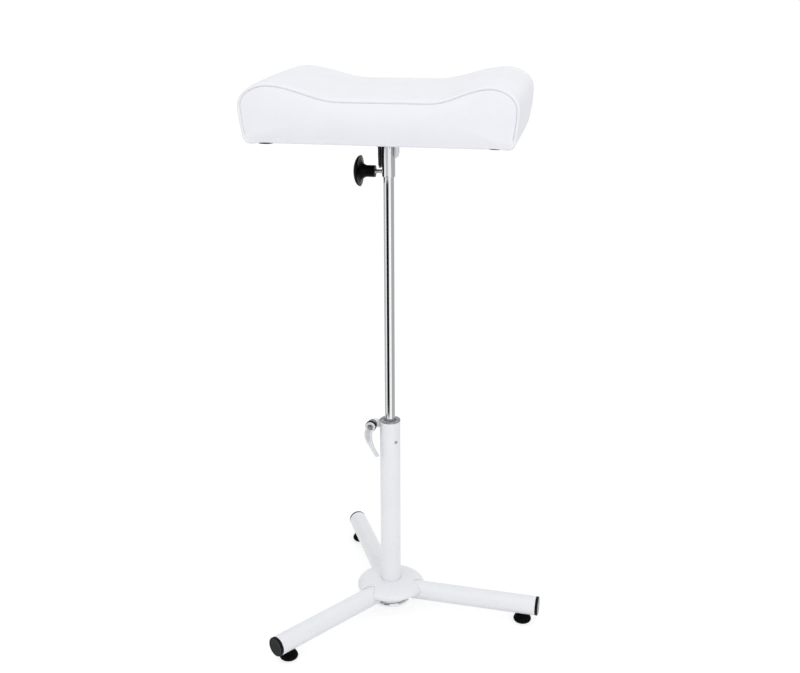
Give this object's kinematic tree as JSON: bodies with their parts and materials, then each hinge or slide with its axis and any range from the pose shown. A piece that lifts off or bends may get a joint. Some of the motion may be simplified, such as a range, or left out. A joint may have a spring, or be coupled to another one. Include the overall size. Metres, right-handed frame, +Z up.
{
  "type": "pedicure footrest",
  "caption": "Padded footrest for pedicures: a saddle-shaped cushion that tilts and swivels on a telescopic pole, clamped by a lever in a column on a tripod base.",
  "frame": {"origin": "on the floor, under the middle of the bounding box; the column's axis stands 23.5 mm towards -X and 5.6 mm towards -Y of it", "axes": "+Z up along the column, +X to the right along the cushion's long side, -Y towards the cushion's low side, which faces the viewer"},
  "size_m": [0.4359, 0.4307, 0.8463],
  "materials": {
    "white_paint": "satin white powder coat",
    "chrome": "polished",
    "steel": "plain",
    "zinc_plate": "bright zinc",
    "black_plastic": "semi-gloss black",
    "black_rubber": "matt",
    "black_paint": "black gloss paint",
    "grey_nylon": "moulded",
    "white_faux_leather": "smooth white faux leather",
    "plywood": "raw",
    "black_cloth": "thin non-woven"
  },
  "bodies": {
    "stand": {"hub_casting": "white_paint", "base_plate": "chrome", "base_bolt": "zinc_plate", "plate_screw_1": "steel", "plate_screw_2": "steel", "plate_screw_3": "steel", "column_tube": "white_paint", "column_plug": "steel", "leg_tube_right": "white_paint", "leg_tube_back": "white_paint", "leg_tube_left": "white_paint", "leg_cap_right": "black_plastic", "leg_cap_back": "black_plastic", "leg_cap_left": "black_plastic", "glide_nut_right": "zinc_plate", "glide_nut_back": "zinc_plate", "glide_nut_left": "zinc_plate", "guide_bush": "grey_nylon", "bush_screw": "zinc_plate", "clamp_lug_front": "white_paint", "clamp_lug_back": "white_paint"},
    "clamp_washer": {"lever_washer": "black_rubber"},
    "clamp_stud": {"clamp_screw": "steel", "lever_screw": "steel", "lever_spring": "steel"},
    "clamp_lever": {"lever_handle": "chrome"},
    "pole": {"pole_tube": "chrome", "pole_foot": "black_plastic"},
    "swivel_head": {"sleeve_tube": "chrome", "sleeve_plug": "steel", "pivot_bolt": "zinc_plate", "pivot_nut": "zinc_plate"},
    "knob_stud": {"knob_screw": "zinc_plate"},
    "knob": {"knob_head": "black_plastic"},
    "rest": {"cushion": "white_faux_leather", "piping_front": "white_faux_leather", "piping_back": "white_faux_leather", "cushion_board": "plywood", "bottom_cloth": "black_cloth", "bracket_left": "black_paint", "bracket_right": "chrome", "bracket_screw_1": "zinc_plate", "bracket_screw_2": "zinc_plate", "bracket_screw_3": "zinc_plate", "bracket_screw_4": "zinc_plate", "tee_nut_1": "zinc_plate", "tee_nut_2": "zinc_plate", "tee_nut_3": "zinc_plate", "tee_nut_4": "zinc_plate"},
    "glide_stem_right": {"glide_screw_right": "zinc_plate"},
    "glide_right": {"glide_pad_right": "black_rubber"},
    "glide_stem_back": {"glide_screw_back": "zinc_plate"},
    "glide_back": {"glide_pad_back": "black_rubber"},
    "glide_stem_left": {"glide_screw_left": "zinc_plate"},
    "glide_left": {"glide_pad_left": "black_rubber"}
  },
  "joints": [
    {"name": "pole_height", "type": "slide", "parent": "stand", "child": "pole", "axis": [0, 0, 1], "range_m": [-0.26, 0]},
    {"name": "head_swivel", "type": "hinge", "parent": "pole", "child": "swivel_head", "pos_m": [-0.02348, -0.00563, 0.7465], "axis": [0, 0, 1], "continuous": true},
    {"name": "rest_tilt", "type": "hinge", "parent": "swivel_head", "child": "rest", "pos_m": [-0.02348, -0.00563, 0.7465], "axis": [1, 0, 0], "range_deg": [-34, 26]},
    {"name": "clamp_stud_travel", "type": "slide", "parent": "stand", "child": "clamp_washer", "axis": [0, -1, 0], "range_m": [0, 0.001]},
    {"name": "clamp_turn", "type": "hinge", "parent": "clamp_washer", "child": "clamp_stud", "pos_m": [-0.05048, -0.00563, 0.3148], "axis": [0, -1, 0], "range_deg": [0, 360]},
    {"name": "lever_lift", "type": "slide", "parent": "clamp_stud", "child": "clamp_lever", "axis": [0, -1, 0], "range_m": [0, 0.0015], "stiffness_N_per_m": 700, "springref_m": -0.003},
    {"name": "knob_stud_travel", "type": "slide", "parent": "swivel_head", "child": "knob_stud", "axis": [-1, 0, 0], "range_m": [0, 0.0012]},
    {"name": "knob_turn", "type": "hinge", "parent": "knob_stud", "child": "knob", "pos_m": [-0.02348, -0.00563, 0.706], "axis": [-1, 0, 0], "range_deg": [0, 432]},
    {"name": "glide_travel_right", "type": "slide", "parent": "stand", "child": "glide_stem_right", "axis": [0, 0, 1], "range_m": [-0.005, 0]},
    {"name": "glide_turn_right", "type": "hinge", "parent": "glide_stem_right", "child": "glide_right", "pos_m": [0.19223, -0.01693, 0], "axis": [0, 0, 1], "range_deg": [-1800, 0]},
    {"name": "glide_travel_back", "type": "slide", "parent": "stand", "child": "glide_stem_back", "axis": [0, 0, 1], "range_m": [-0.005, 0]},
    {"name": "glide_turn_back", "type": "hinge", "parent": "glide_stem_back", "child": "glide_back", "pos_m": [-0.12154, 0.18683, 0], "axis": [0, 0, 1], "range_deg": [-1800, 0]},
    {"name": "glide_travel_left", "type": "slide", "parent": "stand", "child": "glide_stem_left", "axis": [0, 0, 1], "range_m": [-0.005, 0]},
    {"name": "glide_turn_left", "type": "hinge", "parent": "glide_stem_left", "child": "glide_left", "pos_m": [-0.14112, -0.18678, 0], "axis": [0, 0, 1], "range_deg": [-1800, 0]}
  ],
  "couplings": [
    {"joint": "clamp_turn", "follows": "clamp_stud_travel", "rad_per_m": 6283.2},
    {"joint": "knob_turn", "follows": "knob_stud_travel", "rad_per_m": 6283.2},
    {"joint": "glide_turn_right", "follows": "glide_travel_right", "rad_per_m": 6283.2},
    {"joint": "glide_turn_back", "follows": "glide_travel_back", "rad_per_m": 6283.2},
    {"joint": "glide_turn_left", "follows": "glide_travel_left", "rad_per_m": 6283.2}
  ]
}
